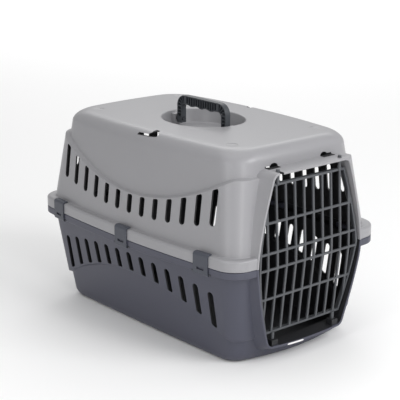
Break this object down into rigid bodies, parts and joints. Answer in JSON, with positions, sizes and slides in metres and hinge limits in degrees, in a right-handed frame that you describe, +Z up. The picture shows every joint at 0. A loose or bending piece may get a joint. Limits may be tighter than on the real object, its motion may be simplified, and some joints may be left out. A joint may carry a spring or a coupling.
{
  "type": "pet transport carrier",
  "caption": "Two-part moulded plastic carrier for a small pet, with a swinging lattice door, vent slots, a fold-down carrying handle and clips round the rim.",
  "frame": {"origin": "on the ground, under the middle of the carrier's bounding box", "axes": "+Z up, -Y out of the door, X across the width; +X is the side of the door's hinge pins"},
  "size_m": [0.3208, 0.4682, 0.337],
  "materials": {
    "upper_shell": "light grey moulded polypropylene with a fine satin grain",
    "lower_shell": "slate grey moulded polypropylene with a fine satin grain",
    "door": "dark grey moulded plastic, satin",
    "handle": "charcoal moulded plastic, fine matt grain",
    "clips": "slate grey moulded plastic, satin",
    "pins": "near-black moulded plastic, satin",
    "label": "white plastic strip, left blank"
  },
  "bodies": {
    "carrier": {"upper_shell": "upper_shell", "lower_shell": "lower_shell", "label_plate": "label", "clip_left_front_pin": "pins", "clip_left_middle_pin": "pins", "clip_left_rear_pin": "pins", "clip_right_front_pin": "pins", "clip_right_middle_pin": "pins", "clip_right_rear_pin": "pins", "clip_rear_left_pin": "pins", "clip_rear_right_pin": "pins"},
    "door": {"door_grille": "door"},
    "handle": {"handle_grip": "handle", "handle_pin_front": "pins", "handle_pin_rear": "pins"},
    "clip_left_front": {"clip_left_front": "clips"},
    "clip_left_middle": {"clip_left_middle": "clips"},
    "clip_left_rear": {"clip_left_rear": "clips"},
    "clip_right_front": {"clip_right_front": "clips"},
    "clip_right_middle": {"clip_right_middle": "clips"},
    "clip_right_rear": {"clip_right_rear": "clips"},
    "clip_rear_left": {"clip_rear_left": "clips"},
    "clip_rear_right": {"clip_rear_right": "clips"}
  },
  "joints": [
    {"name": "door_swing", "type": "hinge", "parent": "carrier", "child": "door", "pos_m": [0.0607, -0.22252, 0.15], "axis": [0, -0.022, 0.9998], "range_deg": [0, 110]},
    {"name": "handle_fold", "type": "hinge", "parent": "carrier", "child": "handle", "pos_m": [0, 0, 0.299], "axis": [0, 1, 0], "range_deg": [-88, 88]},
    {"name": "clip_left_front_turn", "type": "hinge", "parent": "carrier", "child": "clip_left_front", "pos_m": [-0.14928, -0.16991, 0.1408], "axis": [0.0928, -0.9957, 0], "range_deg": [0, 100]},
    {"name": "clip_left_middle_turn", "type": "hinge", "parent": "carrier", "child": "clip_left_middle", "pos_m": [-0.1572, 0, 0.1408], "axis": [0, -1, 0], "range_deg": [0, 100]},
    {"name": "clip_left_rear_turn", "type": "hinge", "parent": "carrier", "child": "clip_left_rear", "pos_m": [-0.14928, 0.16991, 0.1408], "axis": [-0.0928, -0.9957, 0], "range_deg": [0, 100]},
    {"name": "clip_rear_left_turn", "type": "hinge", "parent": "carrier", "child": "clip_rear_left", "pos_m": [-0.09797, 0.23061, 0.1408], "axis": [-0.9996, -0.0286, 0], "range_deg": [0, 100]},
    {"name": "clip_right_front_turn", "type": "hinge", "parent": "carrier", "child": "clip_right_front", "pos_m": [0.14928, -0.16991, 0.1408], "axis": [0.0928, 0.9957, 0], "range_deg": [0, 100]},
    {"name": "clip_right_middle_turn", "type": "hinge", "parent": "carrier", "child": "clip_right_middle", "pos_m": [0.1572, 0, 0.1408], "axis": [0, 1, 0], "range_deg": [0, 100]},
    {"name": "clip_right_rear_turn", "type": "hinge", "parent": "carrier", "child": "clip_right_rear", "pos_m": [0.14928, 0.16991, 0.1408], "axis": [-0.0928, 0.9957, 0], "range_deg": [0, 100]},
    {"name": "clip_rear_right_turn", "type": "hinge", "parent": "carrier", "child": "clip_rear_right", "pos_m": [0.09797, 0.23061, 0.1408], "axis": [-0.9996, 0.0286, 0], "range_deg": [0, 100]}
  ]
}
